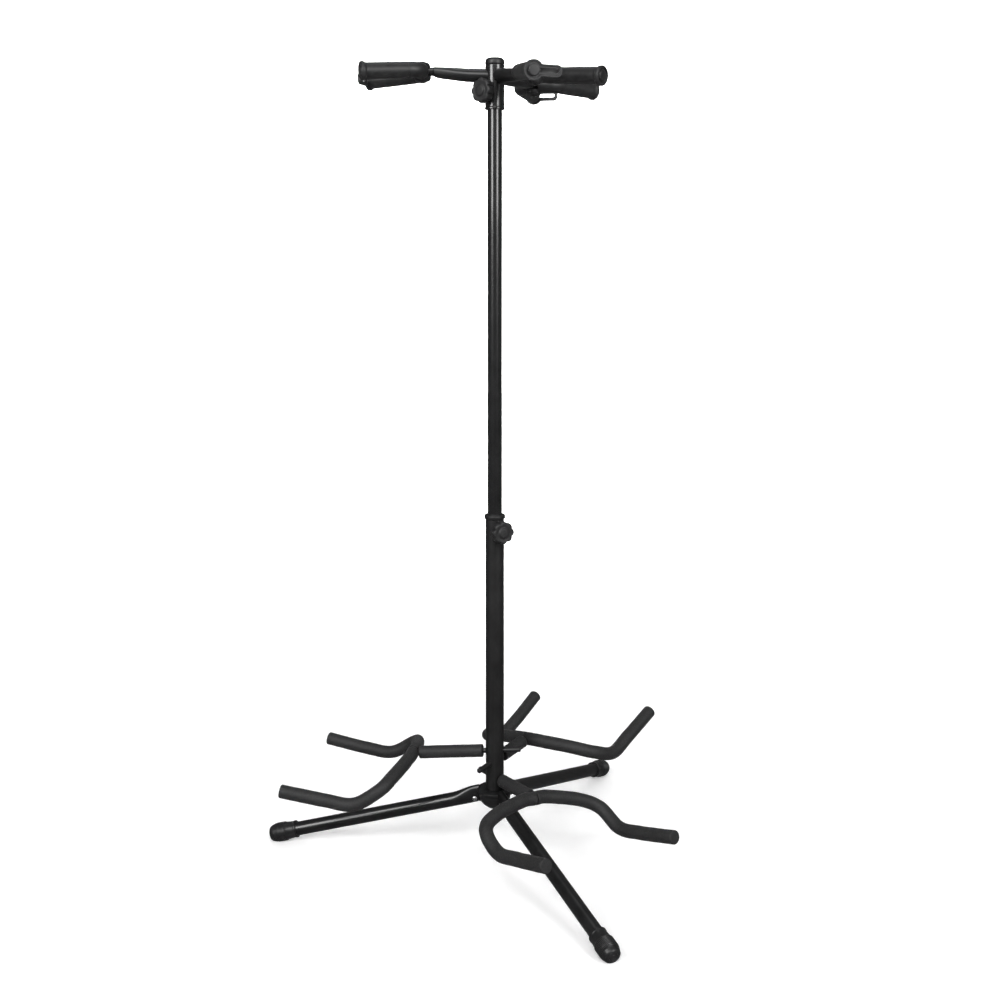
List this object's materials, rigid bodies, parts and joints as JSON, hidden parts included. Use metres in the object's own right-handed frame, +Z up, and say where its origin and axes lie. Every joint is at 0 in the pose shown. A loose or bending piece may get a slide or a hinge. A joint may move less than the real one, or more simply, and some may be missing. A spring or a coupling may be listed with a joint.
{
  "type": "guitar rack",
  "caption": "Black floor rack for guitars: folding tripod base, telescoping column, foam-padded U cradles near the floor and padded neck yokes with swinging gates at the top.",
  "frame": {"origin": "centre of the footprint on the floor (the middle of the bounding box seen from above); the column axis stands at x 0.04273, y 0.00987", "axes": "+Z up along the column; -Y is the front, the side seen in a front view; one leg and one cradle point roughly along -X"},
  "size_m": [0.566, 0.573, 1.083],
  "materials": {
    "tube_gloss": "gloss black powder coat",
    "tube_satin": "satin black powder coat",
    "leg_paint": "gloss black powder coat",
    "arm_paint": "gloss black powder coat",
    "rod_paint": "satin black paint",
    "hub_plastic": "satin black moulded plastic",
    "knob_plastic": "matt black moulded plastic",
    "yoke_plastic": "satin black moulded plastic",
    "gate_plastic": "satin black moulded plastic",
    "pad_rubber": "matt black rubber sleeve",
    "foot_rubber": "satin black rubber",
    "foam": "fine-grained dark grey foam rubber",
    "steel": "bright zinc-plated steel"
  },
  "bodies": {
    "base": {"leg_hub": "hub_plastic", "lower_tube": "tube_satin", "clutch_collar": "hub_plastic", "clutch_nut": "tube_satin", "leg_rivet_left": "steel", "leg_rivet_front": "steel", "leg_rivet_back": "steel", "cradle_rod_left": "rod_paint", "cradle_rod_front": "rod_paint", "cradle_rod_back": "rod_paint", "stem_foam_left": "foam", "stem_foam_front": "foam", "stem_foam_back": "foam", "cradle_foam_left_a": "foam", "cradle_foam_left_b": "foam", "cradle_foam_front_a": "foam", "cradle_foam_front_b": "foam", "cradle_foam_back_a": "foam", "cradle_foam_back_b": "foam"},
    "leg_left_swing": {"leg_left": "leg_paint", "foot_cap_left": "foot_rubber"},
    "leg_front_swing": {"leg_front": "leg_paint", "foot_cap_front": "foot_rubber"},
    "leg_back_swing": {"leg_back": "leg_paint", "foot_cap_back": "foot_rubber"},
    "clutch_knob_turn": {"clutch_knob": "knob_plastic", "clutch_screw": "steel"},
    "column": {"middle_tube": "tube_gloss", "upper_tube": "tube_gloss"},
    "top": {"top_sleeve": "tube_gloss", "top_cap": "hub_plastic", "top_nut": "tube_satin", "neck_arm_left": "arm_paint", "neck_arm_front": "arm_paint", "neck_arm_back": "arm_paint", "yoke_pin_left": "rod_paint", "yoke_pin_front": "rod_paint", "yoke_pin_back": "rod_paint"},
    "top_knob_turn": {"top_knob": "knob_plastic", "top_screw": "steel"},
    "yoke_left_swivel": {"yoke_left": "yoke_plastic", "prong_pad_left_plain": "pad_rubber", "prong_pad_left_gate": "pad_rubber", "gate_button_left": "gate_plastic"},
    "gate_left_swing": {"gate_left": "gate_plastic"},
    "yoke_front_swivel": {"yoke_front": "yoke_plastic", "prong_pad_front_plain": "pad_rubber", "prong_pad_front_gate": "pad_rubber", "gate_button_front": "gate_plastic"},
    "gate_front_swing": {"gate_front": "gate_plastic"},
    "yoke_back_swivel": {"yoke_back": "yoke_plastic", "prong_pad_back_plain": "pad_rubber", "prong_pad_back_gate": "pad_rubber", "gate_button_back": "gate_plastic"},
    "gate_back_swing": {"gate_back": "gate_plastic"}
  },
  "joints": [
    {"name": "leg_left_fold", "type": "hinge", "parent": "base", "child": "leg_left_swing", "pos_m": [0.01497, 0.01269, 0.0778], "axis": [-0.1011, -0.9949, 0], "range_deg": [0, 74]},
    {"name": "leg_front_fold", "type": "hinge", "parent": "base", "child": "leg_front_swing", "pos_m": [0.05492, -0.01523, 0.0778], "axis": [0.8996, 0.4368, 0], "range_deg": [0, 74]},
    {"name": "leg_back_fold", "type": "hinge", "parent": "base", "child": "leg_back_swing", "pos_m": [0.05809, 0.03316, 0.0778], "axis": [-0.8348, 0.5505, 0], "range_deg": [0, 74]},
    {"name": "clutch_knob_turn", "type": "hinge", "parent": "base", "child": "clutch_knob_turn", "pos_m": [0.05006, -0.00613, 0.466], "axis": [0.4163, -0.9092, 0], "range_deg": [0, 720]},
    {"name": "column_slide", "type": "slide", "parent": "base", "child": "column", "axis": [0, 0, 1], "range_m": [-0.12, 0.12]},
    {"name": "top_turn", "type": "hinge", "parent": "column", "child": "top", "pos_m": [0.04273, 0.00987, 1.05], "axis": [0, 0, 1], "continuous": true},
    {"name": "top_knob_turn", "type": "hinge", "parent": "top", "child": "top_knob_turn", "pos_m": [0.03156, -0.00334, 1.04], "axis": [-0.6455, -0.7638, 0], "range_deg": [0, 720]},
    {"name": "yoke_left_swivel", "type": "hinge", "parent": "top", "child": "yoke_left_swivel", "pos_m": [-0.05022, 0.00922, 1.06465], "axis": [-0.0663, -0.0005, 0.9978], "range_deg": [-20, 20]},
    {"name": "gate_left_swing", "type": "hinge", "parent": "yoke_left_swivel", "child": "gate_left_swing", "pos_m": [-0.12294, 0.05701, 1.05984], "axis": [-0.9496, 0.3071, -0.0629], "range_deg": [-120, 120]},
    {"name": "yoke_front_swivel", "type": "hinge", "parent": "top", "child": "yoke_front_swivel", "pos_m": [0.09085, -0.06865, 1.05219], "axis": [0.0492, -0.0802, 0.9956], "range_deg": [-20, 20]},
    {"name": "gate_front_swing", "type": "hinge", "parent": "yoke_front_swivel", "child": "gate_front_swing", "pos_m": [0.08741, -0.15546, 1.04537], "axis": [0.2264, -0.9699, -0.0894], "range_deg": [-120, 120]},
    {"name": "yoke_back_swivel", "type": "hinge", "parent": "top", "child": "yoke_back_swivel", "pos_m": [0.09575, 0.08559, 1.05735], "axis": [0.022, 0.0314, 0.9993], "range_deg": [-20, 20]},
    {"name": "gate_back_swing", "type": "hinge", "parent": "yoke_back_swivel", "child": "gate_back_swing", "pos_m": [0.09777, 0.17267, 1.05456], "axis": [0.2872, 0.9572, -0.0364], "range_deg": [-120, 120]}
  ]
}
